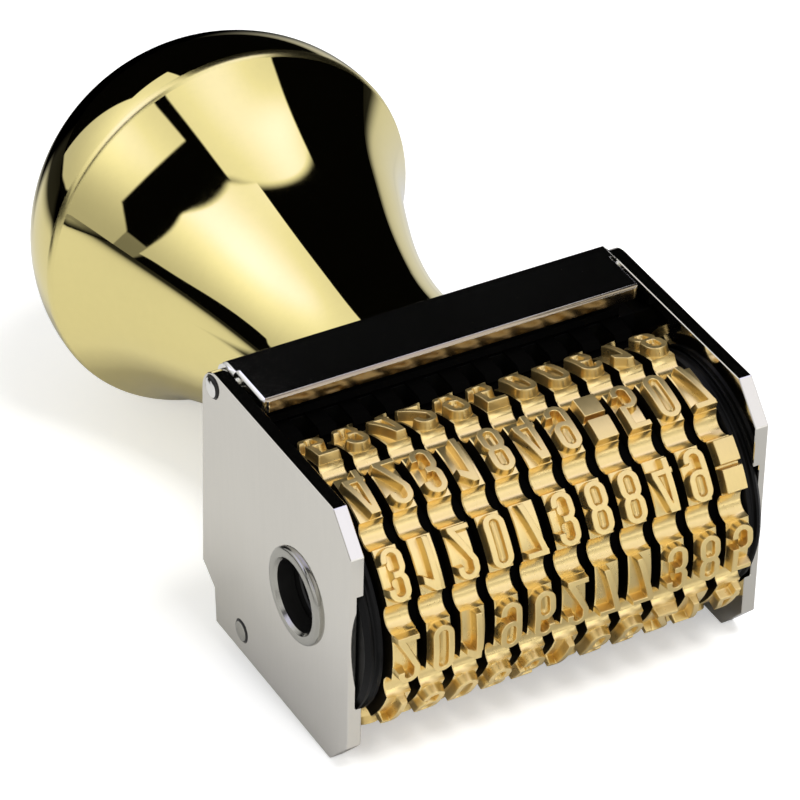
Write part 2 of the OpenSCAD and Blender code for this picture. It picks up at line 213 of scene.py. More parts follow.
# %% Two shapes of light
def screen(corners, strength, edge=0.7):
    """A sheet on the map of the sky, from its corners in counter-clockwise order."""
    light = strength
    for (ax, ay), (bx, by) in zip(corners, corners[1:] + corners[:1]):
        length = math.hypot(bx - ax, by - ay)
        inward = ((ay - by) / length, (bx - ax) / length)
        line = (*inward, -inward[0] * ax - inward[1] * ay)
        depth = add(sky, "ShaderNodeVectorMath", {0: map_point, 1: line},
                    operation="DOT_PRODUCT").outputs["Value"]
        light = calc(sky, "MULTIPLY", ramp(sky, depth, -edge, edge), light)
    return light


def swelling(x, y, wide, tall, gain):
    """A smooth rise of the light, gain at its middle and fading over wide and tall."""
    away = map_point
    for operation, by in (("SUBTRACT", (x, y, 1.0)), ("MULTIPLY", (1 / wide, 1 / tall, 1.0))):
        away = output(sky, "ShaderNodeVectorMath", {0: away, 1: by}, operation=operation)
    square = add(sky, "ShaderNodeVectorMath", {0: away, 1: away},
                 operation="DOT_PRODUCT").outputs["Value"]
    return calc(sky, "MULTIPLY", calc(sky, "EXPONENT", calc(sky, "MULTIPLY", square, -1.0)), gain)


# %% The room's light
left_screens = [
    screen([(-95, -95), (-19, -95), (-19, -13), (-95, -12)], 0.72),
    screen([(-95, -15), (-65, -15), (-80, -1), (-95, 0)], 0.72),
    screen([(-95, -15), (-80, -15), (-80, 10), (-95, 10)], 0.3),
    screen([(-86, 9), (-50, 1.7), (-14, 0.6), (1, 2.5), (4, 54), (-12, 54), (-61, 52)], 0.86, 0.35),
    screen([(-60, 30), (-11, 46), (-27, 86), (-44, 77), (-55, 67), (-63, 53)], 0.86),
]
right_screens = [
    screen([(-12.5, -95), (43, -95), (43, -14), (49.5, 12.5), (-12.5, 0.5)], 0.78),
    screen([(41, -95), (95, -95), (95, -40), (41, -40)], 0.78),
]
swellings = [swelling(12, -16, 20, 26, 0.36), swelling(34, 4, 20, 12, 0.45),
             swelling(-46, -36, 18, 26, 0.55), swelling(-36, 14, 24, 26, 0.46),
             swelling(-22, 40, 14, 16, 0.2), swelling(18, -66, 60, 26, 0.8)]
swelling_share, darkest = 1.2, 0.001
low_dimming = ramp(sky, from_zenith, 55.0, 88.0, 1.0, 0.66)
lit = calc(sky, "MAXIMUM",
           calc(sky, "MULTIPLY", combined(sky, "MAXIMUM", left_screens), low_dimming),
           combined(sky, "MAXIMUM", right_screens))
swollen = calc(sky, "MULTIPLY", combined(sky, "ADD", swellings), swelling_share)
lit = calc(sky, "MAXIMUM", calc(sky, "MULTIPLY", lit, calc(sky, "ADD", 1.0, swollen)), darkest)

# The brightest light is a little cool when it comes from high up.
cool_share = 2.0
over_white = calc(sky, "MAXIMUM", calc(sky, "SUBTRACT", lit, 1.0), 0.0)
over_white = calc(sky, "MULTIPLY", over_white, ramp(sky, from_zenith, 62, 40))
cool = calc(sky, "ADD", lit, calc(sky, "MULTIPLY", over_white, cool_share))

white = (1, 1, 1, 1)
rays = add(sky, "ShaderNodeLightPath").outputs
seen = add(sky, "ShaderNodeBackground", {"Color": white, "Strength": 1.0})
mirrored = add(sky, "ShaderNodeBackground", {"Color": vector(sky, lit, lit, cool), "Strength": 1.0})
soft = add(sky, "ShaderNodeBackground", {"Color": white, "Strength": 0.55})
gloss = calc(sky, "MAXIMUM", rays["Is Glossy Ray"], rays["Is Transmission Ray"])
indirect = add(sky, "ShaderNodeMixShader", {0: gloss, 1: soft.outputs[0], 2: mirrored.outputs[0]})
all_rays = add(sky, "ShaderNodeMixShader",
               {0: rays["Is Camera Ray"], 1: indirect.outputs[0], 2: seen.outputs[0]})
add(sky, "ShaderNodeOutputWorld", {0: all_rays.outputs[0]})
print("screens in the room:", len(left_screens + right_screens))

# %% [markdown]
# ## The floor
# To the camera the floor is a pale card that glows a little, so that shadows
# stay light. Such a card would fill the lower half of every mirror, so
# reflections see another one, dark with pools of light. Each pool is a sector
# round the shaft, in degrees from +X, and its light changes with the distance.

# %% The floor's card
floor_size, below_ground = 3.0, 0.00002
floor_mesh = bpy.data.meshes.new("floor")
floor_mesh.from_pydata([(x * floor_size, y * floor_size, ground - below_ground)
                        for x, y in ((-1, -1), (1, -1), (1, 1), (-1, 1))], [], [(0, 1, 2, 3)])
floor = bpy.data.objects.new("floor", floor_mesh)
bpy.context.scene.collection.objects.link(floor)

paper = bpy.data.materials.new("pale_floor")
paper.use_nodes = True
floor_tree = paper.node_tree
floor_tree.nodes.clear()
card = add(floor_tree, "ShaderNodeBsdfDiffuse", {"Color": (0.80, 0.80, 0.79, 1)})
glow = add(floor_tree, "ShaderNodeEmission", {"Color": white, "Strength": 0.42})
both = add(floor_tree, "ShaderNodeAddShader", {0: card.outputs[0], 1: glow.outputs[0]})
print("floor:", 2 * floor_size, "m across")

# %% Pools of light
spot = add(floor_tree, "ShaderNodeSeparateXYZ",
           {0: add(floor_tree, "ShaderNodeNewGeometry").outputs["Position"]}).outputs
distance = hypotenuse(floor_tree, spot[0], spot[1])
bearing = calc(floor_tree, "MULTIPLY", calc(floor_tree, "ARCTAN2", spot[1], spot[0]),
               degrees_in_radian)


def fading(near, far, at_near, at_far):
    return ramp(floor_tree, distance, near, far, at_near, at_far)


def sector(first, last, soft_edge, light):
    inside = calc(floor_tree, "MULTIPLY",
                  ramp(floor_tree, bearing, first - soft_edge, first + soft_edge),
                  ramp(floor_tree, bearing, last - soft_edge, last + soft_edge, 1.0, 0.0))
    return calc(floor_tree, "MULTIPLY", inside, light)


not_in_front = calc(floor_tree, "SUBTRACT", 1.0, sector(-98, -12, 8, 0.6))
pools = [
    calc(floor_tree, "MULTIPLY", fading(0.12, 0.17, 0.66, 0.0), not_in_front),
    sector(98, 121, 3, fading(0.17, 0.26, 0.66, 0.02)),
    sector(28, 62, 8, fading(0.3, 1.6, 0.62, 0.3)),
    sector(138, 180, 3, fading(0.20, 0.7, 0.66, 0.03)),
    sector(-172, -98, 8, 0.6),
    sector(-98, -12, 8, fading(0.04, 0.16, 0.34, 0.95)),
    sector(-52, -12, 8, fading(0.04, 0.16, 0.5, 0.95)),
    sector(-20, 28, 10, fading(0.10, 0.45, 0.5, 0.02)),
]
pool = combined(floor_tree, "MAXIMUM", pools)
mirrored_card = add(floor_tree, "ShaderNodeBsdfDiffuse",
                    {"Color": vector(floor_tree, pool, pool, pool)})
to_camera = add(floor_tree, "ShaderNodeLightPath").outputs["Is Camera Ray"]
shown = add(floor_tree, "ShaderNodeMixShader",
            {0: to_camera, 1: mirrored_card.outputs[0], 2: both.outputs[0]})
add(floor_tree, "ShaderNodeOutputMaterial", {0: shown.outputs[0]})
floor_mesh.materials.append(paper)
print("pools of light on the floor:", len(pools))

# %% [markdown]
# ## Two lamps
# The lamps only model the dull surfaces and throw the soft shadow. They are
# square areas of light, because a point of light makes a hard shadow. Mirrors
# don't show them: the screens are there for that.

# %% Lamps
def lamp(name, place, aim, size, power):
    data = bpy.data.lights.new(name, "AREA")
    data.shape, data.size, data.size_y, data.energy = "RECTANGLE", size[0], size[1], power
    obj = bpy.data.objects.new(name, data)
    obj.location = place
    obj.rotation_euler = (Vector(aim) - Vector(place)).to_track_quat("-Z", "Y").to_euler()
    obj.visible_glossy = False
    bpy.context.scene.collection.objects.link(obj)
    return obj


key = lamp("key_lamp", (0.10, -0.35, 0.75), (0, 0.02, 0), (0.30, 0.30), 5.0)
fill = lamp("fill_lamp", (-0.60, -0.45, 0.45), (0, 0.02, 0), (0.40, 0.40), 2.0)
bpy.context.scene.view_settings.view_transform = "Standard"
print("lamps:", key.name, fill.name)

# %% [markdown]
# ## Metal finishes
# A metal is more than a colour. Tool marks stretch the highlights, the plating
# is a little cloudy, and fine scratches catch the light. Pictures of scratches
# would need an unwrapped surface and would repeat. So one function builds all
# finishes from three noises in the piece's own coordinates: a slow cloud, a
# stretched grain that follows the tool, and a fine grain for the bump.

# %% The finish function
round_shaft = 0.006                                     # metres of grain in a radian of turn
wall_from, wall_full, wall_end, wall_gone = 0.01528, 0.01550, 0.01610, 0.01629
satin_step, satin_more = 0.00005, 0.10
noise_low, noise_high = 0.35, 0.65                      # where nearly all of a noise lies
cloud_scale, dust_finer, bump_depth = 60.0, 1.7, 0.00002


def finish(name, colour, rough, tone, scale, bump, metallic=1.0, spread=0.05, grain=(1, 1, 1),
           round_x=False, satin_from=None, painted_wall_shade=None, shine=0.5):
    """A metal or paint. satin_from and painted_wall_shade are for wheels, by the distance from the shaft,
    and need round_x, which lays the grain round the shaft."""
    material = bpy.data.materials.new(name)
    material.use_nodes = True
    tree = material.node_tree
    tree.nodes.clear()
    where = add(tree, "ShaderNodeTexCoord").outputs["Object"]
    if round_x:
        parts = add(tree, "ShaderNodeSeparateXYZ", {0: where}).outputs
        radius = hypotenuse(tree, parts[1], parts[2])
        turn = calc(tree, "MULTIPLY", calc(tree, "ARCTAN2", parts[1], parts[2]), round_shaft)
        where = vector(tree, parts[0], turn, radius)
    stretched = output(tree, "ShaderNodeMapping", {"Vector": where, "Scale": grain})
    clouds = output(tree, "ShaderNodeTexNoise", {"Vector": where, "Scale": cloud_scale, "Detail": 3.0})
    marks = output(tree, "ShaderNodeTexNoise", {"Vector": stretched, "Scale": scale, "Detail": 4.0,
                                                "Roughness": 0.6})
    dust = output(tree, "ShaderNodeTexNoise", {"Vector": where, "Scale": scale * dust_finer,
                                               "Detail": 2.0})

    shade = calc(tree, "ADD", calc(tree, "MULTIPLY", clouds, 0.6), calc(tree, "MULTIPLY", marks, 0.4))
    shade = ramp(tree, shade, noise_low, noise_high, smooth=False)
    mixed = add(tree, "ShaderNodeMix", {"Factor": shade}, data_type="RGBA")
    mixed.inputs["A"].default_value = [max(0.0, c * (1 - tone)) for c in colour] + [1]
    mixed.inputs["B"].default_value = [min(1.0, c * (1 + tone)) for c in colour] + [1]
    base = mixed.outputs["Result"]
    # The figures' walls get a darker gold: painted shade, for the shadow along each figure's wall.
    if painted_wall_shade:
        on_wall = calc(tree, "MULTIPLY", ramp(tree, radius, wall_from, wall_full, smooth=False),
                       ramp(tree, radius, wall_end, wall_gone, 1.0, 0.0, smooth=False))
        shaded_walls = add(tree, "ShaderNodeMix", {"Factor": on_wall}, data_type="RGBA")
        tree.links.new(base, shaded_walls.inputs["A"])
        shaded_walls.inputs["B"].default_value = (*painted_wall_shade, 1)
        base = shaded_walls.outputs["Result"]

    hazy = calc(tree, "ADD", calc(tree, "MULTIPLY", marks, 0.5), calc(tree, "MULTIPLY", clouds, 0.5))
    roughness = ramp(tree, hazy, noise_low, noise_high, max(0.0, rough - spread), rough + spread,
                     smooth=False)
    if satin_from:
        satin = ramp(tree, radius, satin_from - satin_step, satin_from, 0.0, satin_more, smooth=False)
        dusty = calc(tree, "MULTIPLY", satin, calc(tree, "ADD", dust, 0.5))
        roughness = calc(tree, "ADD", roughness, dusty)
    height = calc(tree, "ADD", calc(tree, "MULTIPLY", marks, 0.7), calc(tree, "MULTIPLY", dust, 0.3))
    uneven = output(tree, "ShaderNodeBump", {"Height": height, "Strength": bump,
                                             "Distance": bump_depth})
    shader = add(tree, "ShaderNodeBsdfPrincipled", {
        "Base Color": base, "Metallic": metallic, "Roughness": roughness,
        "Normal": uneven, "Specular IOR Level": shine})
    add(tree, "ShaderNodeOutputMaterial", {0: shader.outputs[0]})
    return material


# %% The finishes of the stamp
turned_marks = {"round_x": True, "grain": (1, 0.05, 1)}
plated = finish("bright_plating", (0.69, 0.665, 0.61), 0.085, tone=0.025, spread=0.03,
                grain=(1, 1, 0.08), scale=1800, bump=0.02)
brass_polish = finish("mirror_brass", (0.88, 0.76, 0.33), 0.025, tone=0.02, spread=0.01, scale=900,
                      bump=0.008)
brass_rim = finish("burnished_rim", (0.88, 0.76, 0.33), 0.24, tone=0.02, spread=0.02, scale=900,
                   bump=0.01)
# Machined brass for the wheels; their figure walls are a darker gold, which is painted shade.
brass_cut = finish("machined_brass", (0.93, 0.72, 0.32), 0.28, metallic=0.94, tone=0.04, spread=0.01,
                   scale=2600, bump=0.004, round_x=True, satin_from=0.0162,
                   painted_wall_shade=(0.74, 0.54, 0.21))
# The wheels' flat sides are near black: painted shade, for the dark gaps between the wheels.
side_painted_shade = finish("brass_sides_painted_shade", (0.04, 0.03, 0.016), 0.5, tone=0.3, spread=0.08, scale=1800,
                    bump=0.1, round_x=True, grain=(1, 0.1, 1))
chrome = finish("polished_steel", (0.82, 0.81, 0.78), 0.11, tone=0.03, spread=0.03, scale=1200,
                bump=0.01)
# The lever's front lip is a dark brownish steel: painted shade, with a painted reflection of the brass
# wheels below.
lip_shade_and_reflection = finish("lip_steel_painted_shade_and_reflection", (0.36, 0.30, 0.22), 0.2, tone=0.1, spread=0.04, scale=1200,
                   bump=0.02)
nickel = finish("turned_nickel", (0.40, 0.39, 0.35), 0.22, tone=0.1, spread=0.06, scale=2600,
                bump=0.08, **turned_marks)
# A near black for the inside of the bore and the rim of each pin's dome: painted shade.
bore_and_pin_shade = finish("painted_shade_bore_and_pin_rim", (0.02, 0.019, 0.018), 0.35, metallic=0.5, tone=0.3, scale=2600,
                   bump=0.1, **turned_marks)
block_black = finish("black_oxide", (0.0035, 0.0035, 0.0035), 0.45, metallic=0.0, tone=0.3,
                     scale=1800, bump=0.1, shine=0.15)
disc_black = finish("black_turned_disc", (0.003, 0.003, 0.003), 0.45, metallic=0.0, tone=0.3,
                    scale=2400, bump=0.08, shine=0.12, **turned_marks)
spacer_black = finish("black_spacers", (0.0016, 0.0015, 0.0014), 0.9, metallic=0.0, tone=0.3,
                      scale=2400, bump=0.08, shine=0.0, **turned_marks)
spring = finish("blackened_spring_steel", (0.0016, 0.0015, 0.0014), 0.85, metallic=0.0, tone=0.3,
                scale=2000, bump=0.08, grain=(0.1, 1, 1), shine=0.01)
print("finishes:", len([m for m in bpy.data.materials if m.node_tree]))

# %% [markdown]
# ## Edges that catch the light
# No machined edge is perfectly sharp: each has a small bevel, and in a picture
# that bevel is the bright line which tells us the metal's thickness. A Bevel
# modifier could make it, but a solid's mesh is loose triangles, which have to be
# welded and joined to flat faces first. So a copy of each mesh is cleaned, and
# its sharp edges are bevelled by a measured width. It then stands for the solid.

# %% Shading, placing and bevelling
weld_distance, flat_angle = 3e-6, math.radians(0.6)


def set_shading(mesh, angle):
    """Smooth faces, with a hard edge wherever they meet at more than this angle in degrees."""
    work = bmesh.new()
    work.from_mesh(mesh)
    for face in work.faces:
        face.smooth = True
    limit = math.radians(angle)
    for edge in work.edges:
        edge.smooth = len(edge.link_faces) == 2 and edge.calc_face_angle(0) < limit
    work.to_mesh(mesh)
    work.free()


def place(name, mesh, material, body, slot, *nodes):
    """Puts a piece in the scene: it rides on its body and stands for the solids that it replaces."""
    obj = bpy.data.objects.new(name, mesh)
    bpy.context.scene.collection.objects.link(obj)
    if material:
        mesh.materials.clear()
        mesh.materials.append(material)
    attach(obj, body)
    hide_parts(*nodes)
    return obj


def bevelled(node, width, material, slot, body="head", sharp=28, smooth=30):
    """A copy with all edges over sharp degrees bevelled, and smooth shading up to smooth degrees."""
    work = bmesh.new()
    work.from_mesh(frame["nodes"][node].data)
    bmesh.ops.remove_doubles(work, verts=work.verts, dist=weld_distance)
    bmesh.ops.dissolve_limit(work, angle_limit=flat_angle, verts=work.verts, edges=work.edges)
    limit = math.radians(sharp)
    edges = [e for e in work.edges if len(e.link_faces) == 2 and e.calc_face_angle(0) > limit]
    bmesh.ops.bevel(work, geom=edges, offset=width * MM, segments=1, profile=0.5, affect="EDGES",
                    clamp_overlap=True, miter_outer="SHARP")
    mesh = bpy.data.meshes.new(node + "_dressed")
    work.to_mesh(mesh)
    work.free()
    set_shading(mesh, smooth)
    print(f"{node}: {len(edges)} edges bevelled, {len(mesh.polygons)} faces")
    return place(node + "_dressed", mesh, material, body, slot, node)


# %% Bevelled copies of the solids
bevelled("left_cheek", 0.28, plated, "plated_cheeks", smooth=12)
bevelled("right_cheek", 0.28, plated, "plated_cheeks", smooth=12)
lever = bevelled("lever", 0.06, chrome, "polished_lever", body="lever_plate", sharp=40)
lever.data.materials.append(lip_shade_and_reflection)
# The large faces that look forward take that dark brownish steel, the painted shade and reflection.
lip_forward, lip_sideways, lip_area = 0.6, 0.3, 4 * MM * MM
for face in lever.data.polygons:
    faces_front = -face.normal.y > lip_forward and abs(face.normal.x) < lip_sideways
    if faces_front and face.area > lip_area:
        face.material_index = 1
bevelled("back_block", 0.25, block_black, "black_block")
bevelled("comb_strip", 0.08, block_black, "black_block")
bevelled("strip_screws", 0.08, spring, "blued_spring")
bevelled("detent_comb", 0.03, spring, "blued_spring", sharp=60)
for side in ("left", "right"):
    bevelled(side + "_end_disc", 0.05, disc_black, "black_discs", sharp=60, smooth=35)

# %% [markdown]
# ## The palm knob
# The knob is turned on a lathe from one bar, so its whole shape is one outline
# swept round an axis. The Screw modifier could sweep it, but a small function
# closes the ends too and also serves for the shaft and the pins. The outline
# runs through a few known rings, then over the round rim and the domed end. A
# mirror finish shows any jump in the bend, so the slopes at the rings are solved
# together: the bend is the same on both sides of each ring.

# %% The knob's outline
knob_r, knob_len, dome_len, neck_r, foot_r, rim_r = 24.4, 44.5, 21.8, 13.15, 14.2, 2.0
rear_y = 22.6
foot_slope, rim_turn = -0.16, math.radians(35)
rings = [(0, foot_r), (0.267 * knob_len, neck_r), (0.402 * knob_len, neck_r + 0.65),
         (0.55 * knob_len, neck_r + 2.25), (0.70 * knob_len, neck_r + 4.6),
         (0.854 * knob_len, 0.675 * knob_r + 0.325 * neck_r),
         (knob_len - rim_r * math.sin(rim_turn), knob_r - rim_r * (1 - math.cos(rim_turn)))]
chords = [(r1 - r0) / (y1 - y0) for (y0, r0), (y1, r1) in zip(rings, rings[1:])]
spans = [y1 - y0 for (y0, _), (y1, _) in zip(rings, rings[1:])]
even = np.eye(len(rings))
asked = np.array([foot_slope] + [0.0] * len(spans[1:]) + [math.tan(rim_turn)])
for i in range(1, len(spans)):
    before, after = 1 / spans[i - 1], 1 / spans[i]
    even[i, i - 1:i + 2] = before, 2 * (before + after), after
    asked[i] = 3 * (chords[i - 1] * before + chords[i] * after)
slopes = list(np.linalg.solve(even, asked))
print("slopes at the rings:", [round(float(slope), 3) for slope in slopes])

outline = [(foot_r - 0.25, 0), (foot_r - 0.07, 0.07)]
for (y0, r0), (y1, r1), s0, s1, width in zip(rings, rings[1:], slopes, slopes[1:], spans):
    for t in np.linspace(0, 1, 12, endpoint=False):
        if y0 == 0 and t == 0:
            continue
        r = ((2 * t**3 - 3 * t**2 + 1) * r0 + (t**3 - 2 * t**2 + t) * s0 * width
             + (3 * t**2 - 2 * t**3) * r1 + (t**3 - t**2) * s1 * width)
        outline.append((r, y0 + width * t))
outline += [(knob_r - rim_r * (1 - math.cos(a)), knob_len - rim_r * math.sin(a))
            for a in np.linspace(rim_turn, 0, 10, endpoint=False)]
outline += [(knob_r * math.cos(a), knob_len + dome_len * math.sin(a))
            for a in np.linspace(0, math.pi / 2, 40)[:-1]]
print("knob outline:", len(outline), "points")


# %% Sweep it round the axis
def turned(name, outline, axis, steps, hollow=False):
    """A closed solid of revolution. outline is (radius, distance along the axis); axis is x or y.
    A hollow one joins the outline's last point to its first. The others get a face at each end."""
    work = bmesh.new()
    grid = []
    for r, d in outline:
        ring = []
        for k in range(steps):
            a = 2 * math.pi * k / steps
            u, v = r * math.cos(a), r * math.sin(a)
            ring.append(work.verts.new((u, d, v) if axis == "y" else (d, u, v)))
        grid.append(ring)
    for a, b in list(zip(grid, grid[1:])) + [(grid[-1], grid[0])] * hollow:
        for k in range(steps):
            work.faces.new((a[k], a[(k + 1) % steps], b[(k + 1) % steps], b[k]))
    if not hollow:
        work.faces.new(grid[0])
        work.faces.new(grid[-1])
    bmesh.ops.recalc_face_normals(work, faces=work.faces)
    mesh = bpy.data.meshes.new(name)
    work.to_mesh(mesh)
    work.free()
    return mesh


# %% The knob
outline.append((0.02, knob_len + dome_len))
knob_mesh = turned("knob", [(r, rear_y + y) for r, y in outline], "y", 160)
knob_mesh.transform(to_place)
set_shading(knob_mesh, 30)
place("palm_knob", knob_mesh, brass_polish, "head", "polished_brass", "handle_knob")
knob_mesh.materials.append(brass_rim)
from_place = to_place.inverted()
rim_start = rear_y + knob_len - rim_r * math.sin(rim_turn)
for face in knob_mesh.polygons:
    if rim_start < (from_place @ face.center).y < rear_y + knob_len:
        face.material_index = 1
print("knob faces:", len(knob_mesh.polygons))

# %% [markdown]
# ## Figures cut by a tapered tool
# The raised figures were left standing by an engraving cutter with a tapered
# tip, so their walls slope: the face is narrower than the foot, and narrow
# counters end in a groove. A text object with a bevel comes close, but its
# slopes would cross in the counters. A distance field describes such a cut well.
# Each figure is a few simple shapes joined together, and the height of the brass
# at any point depends only on how far that point is from the figure's edge.

# %% Distances to flat shapes
# Each function makes a shape: a function that tells how far points are from it, less than 0 inside.
fig_w, stroke, face_r, relief = 2.6, 0.72, 16.35, 1.1
half_w = fig_w / 2
half_tall = face_r * math.sin(math.radians(21.8) / 2)


def box_at(x0, y0, x1, y1):
    def distance(p):
        dx = np.abs(p[:, 0] - (x0 + x1) / 2) - abs(x1 - x0) / 2
        dy = np.abs(p[:, 1] - (y0 + y1) / 2) - abs(y1 - y0) / 2
        return np.hypot(np.maximum(dx, 0), np.maximum(dy, 0)) + np.minimum(np.maximum(dx, dy), 0)
    return distance


def many_sided(points):
    corners = np.array(points, float)

    def distance(p):
        best = np.full(len(p), 1e9)
        inside = np.zeros(len(p), bool)
        for a, b in zip(corners, np.roll(corners, -1, 0)):
            e, w = b - a, p - a
            t = np.clip((w @ e) / (e @ e), 0, 1)
            best = np.minimum(best, np.hypot(*(w - t[:, None] * e).T))
            crosses = (a[1] <= p[:, 1]) != (b[1] <= p[:, 1])
            inside ^= crosses & (w[:, 0] < e[0] * w[:, 1] / np.where(e[1] == 0, 1, e[1]))
        return np.where(inside, -best, best)
    return distance


def stadium(y, half, r):
    straight = half - r

    def distance(p):
        return np.hypot(p[:, 0], np.maximum(np.abs(p[:, 1] - y) - straight, 0)) - r
    return distance


def joined(*shapes):
    return lambda p: np.minimum.reduce([s(p) for s in shapes])


def cut(shape, *holes):
    return lambda p: np.maximum.reduce([shape(p)] + [-h(p) for h in holes])


def loop(y, half):
    return cut(stadium(y, half, half_w), stadium(y, half - stroke * 0.85, half_w - stroke))


# %% The ten figures and the blank
h, w, s = half_tall, half_w, stroke
bar = s * 0.85
bowl = h * 0.56
top_y = h - bowl
six_bowl = h * 0.6
six_y = h - six_bowl
upper_bowl, lower_bowl = loop(top_y, bowl), loop(-top_y, bowl)

one = joined(box_at(-s * 0.2, -h, s * 0.8, h),
             many_sided([(-s * 0.1, h), (-w, h - 1.1), (-w, h - 2.0), (-s * 0.1, h - 1.2)]))
two = joined(cut(upper_bowl, box_at(-w - 1, -h, 0, top_y + 0.1), box_at(-1, -h, w + 1, top_y - 0.35)),
             many_sided([(w, top_y - 0.3), (w - s, top_y - 0.3), (-w, -h + s * 0.8), (-w, -h),
                         (-w + s * 1.1, -h + s * 0.5)]),
             box_at(-w, -h, w, -h + bar))
three = cut(joined(upper_bowl, lower_bowl), box_at(-w - 1, -top_y - 0.1, -w + s * 1.35, top_y + 0.1))
four = joined(box_at(w - s * 1.3, -h, w - s * 0.3, h), box_at(-w, -h + 1.2, w, -h + 1.2 + bar),
              many_sided([(w - s, h), (w - s * 1.9, h), (-w, -h + 1.3 + s * 0.8), (-w, -h + 1.2),
                          (-w + s * 0.9, -h + 1.3 + s * 0.5)]))
five = joined(box_at(-w + 0.05, h - bar, w, h), box_at(-w + 0.05, -0.1, -w + 0.05 + s, h),
              cut(lower_bowl, box_at(-w - 1, -top_y - 0.15, -w + s * 1.1, -0.05)))
six = joined(loop(-six_y, six_bowl),
             cut(loop(0, h), box_at(-fig_w, -h - 1, fig_w, -h + six_bowl),
                 box_at(-w + s, -h, fig_w, h - w - 0.25)))
seven = joined(box_at(-w, h - s * 0.9, w, h),
               many_sided([(w, h - s * 0.5), (w - s, h - s * 0.5), (-w * 0.7, -h), (-w * 0.7 + s, -h)]))
eight = joined(upper_bowl, lower_bowl)
blank = joined(box_at(-w, -h, w, -0.3), box_at(-w, 0.3, w, h))
figures = [loop(0, h), one, two, three, four, five, six, seven, eight, lambda p: six(-p), blank]
print("figures:", len(figures))

# %% [markdown]
# ## From a distance field to a mesh
# A plain grid of heights would have jagged edges. So lines of equal distance are
# found on a fine grid, for the edge of the face, for its small bevel and down the
# wall to its foot. A Delaunay triangulation then joins them, with a few loose
# points between, and each point gets the height that belongs to its distance.

# %% Lines of equal distance
cell, margin = 0.09, 0.5
off_line = (0.0137, 0.0071)                             # keeps the grid off the shapes' straight edges
edge_soft, high_on_wall, foot, sunk = 0.05, 0.06, 0.2, 0.12
counter_cut, counter_slope, counter_half = 0.32, 0.3, 0.4


def contour(field, xs, ys, level):
    """The line where field equals level, as points and the pairs of them that it joins."""
    points, pairs, seen = [], [], {}

    def crossing(i, j, k, l):
        key = (i, j, k, l)
        if key not in seen:
            a, b = field[i, j] - level, field[k, l] - level
            t = a / (a - b)
            seen[key] = len(points)
            points.append((xs[i] + t * (xs[k] - xs[i]), ys[j] + t * (ys[l] - ys[j])))
        return seen[key]

    over = field > level
    corner = over[:-1, :-1]
    changes = (corner != over[1:, :-1]) | (corner != over[:-1, 1:]) | (corner != over[1:, 1:])
    for i, j in zip(*np.nonzero(changes)):
        ends = []
        for a, b in (((i, j), (i + 1, j)), ((i + 1, j), (i + 1, j + 1)),
                     ((i, j + 1), (i + 1, j + 1)), ((i, j), (i, j + 1))):
            if over[a] != over[b]:
                ends.append(crossing(*a, *b))
        if len(ends) == 2:
            pairs.append(tuple(ends))
        elif len(ends) == 4:
            pairs += [(ends[0], ends[1]), (ends[2], ends[3])]
    return points, pairs


# %% One figure's mesh
def height_at(d):
    return np.interp(d, [-edge_soft, 0, foot, foot + 0.02], [relief, relief - edge_soft, 0, -sunk])


def figure_mesh(number, shape, shell):
    """One figure on the flat. Inside its shell, the counters are only cut to a part of the relief."""
    reach = foot + 0.03
    xs = np.arange(-half_w - margin, half_w + margin, cell) + off_line[0]
    ys = np.arange(-half_tall - margin, half_tall + margin, cell) + off_line[1]
    grid = np.stack(np.meshgrid(xs, ys, indexing="ij"), -1).reshape(-1, 2)
    field = shape(grid).reshape(len(xs), len(ys))
    points, pairs = [], []
    for level in (-edge_soft, 0.0, high_on_wall, foot, reach):
        found, joins = contour(field, xs, ys, level)
        pairs += [(a + len(points), b + len(points)) for a, b in joins]
        points += found
    flat_field = field.reshape(-1)
    inner = grid[(flat_field < -edge_soft - 0.08)][::7]
    in_shell = shell(grid) < 0
    sloped = grid[(flat_field > 0.09) & ((flat_field < foot - 0.05) | in_shell)][::2]
    points = [Vector(p) for p in points] + [Vector(p) for p in np.concatenate([inner, sloped])]
    verts, _, faces, *_ = delaunay_2d_cdt(points, pairs, [], 0, 1e-4)
    flat = np.array([(v.x, v.y) for v in verts])
    distance = shape(flat)
    middles = np.array([flat[list(f)].mean(0) for f in faces])
    keep = (shape(middles) < reach) | (shell(middles) < 0)
    hollowed = np.sqrt(np.clip(distance / counter_half, 0, 1))
    counter = relief - counter_cut - counter_slope * hollowed
    top = height_at(distance)
    top = np.where(shell(flat) < 0.02, np.maximum(top, counter), top)
    mesh = bpy.data.meshes.new(f"figure_{number:02d}")
    mesh.from_pydata([(x, -y, z) for (x, y), z in zip(flat, top)], [],
                     [f[::-1] for f, kept in zip(faces, keep) if kept])
    return mesh


# %% The type case
def no_shell(p):
    return np.full(len(p), 1.0)


shells = {0: stadium(0, h, w),
          4: many_sided([(w - s * 1.9, h), (-w, -h + 1.2), (w - s, -h + 1.2), (w - s, h)]),
          6: stadium(-six_y, six_bowl, w),
          8: joined(stadium(top_y, bowl, w), stadium(-top_y, bowl, w)),
          9: stadium(six_y, six_bowl, w)}
type_case = bpy.data.collections.new("type_case")
bpy.context.scene.collection.children.link(type_case)
for number, shape in enumerate(figures):
    mesh = figure_mesh(number, shape, shells.get(number, no_shell))
    type_case.objects.link(bpy.data.objects.new(f"figure_{number:02d}", mesh))
    print(f"figure {number}: {len(mesh.polygons)} triangles")

# %% [markdown]
# ## Wheels that follow a rule
# All eleven wheels are one design: ten figures in counting order, one every 36
# degrees, with a round scallop between neighbours for the spring's nose. They
# differ only in the figure that faces the front, and some have a blank. Copies
# turned by hand would hide that rule, so Geometry Nodes keep it. One tree repeats
# a tenth of the rim, lays the figures on a flat strip, and wraps the strip round
# the wheel.

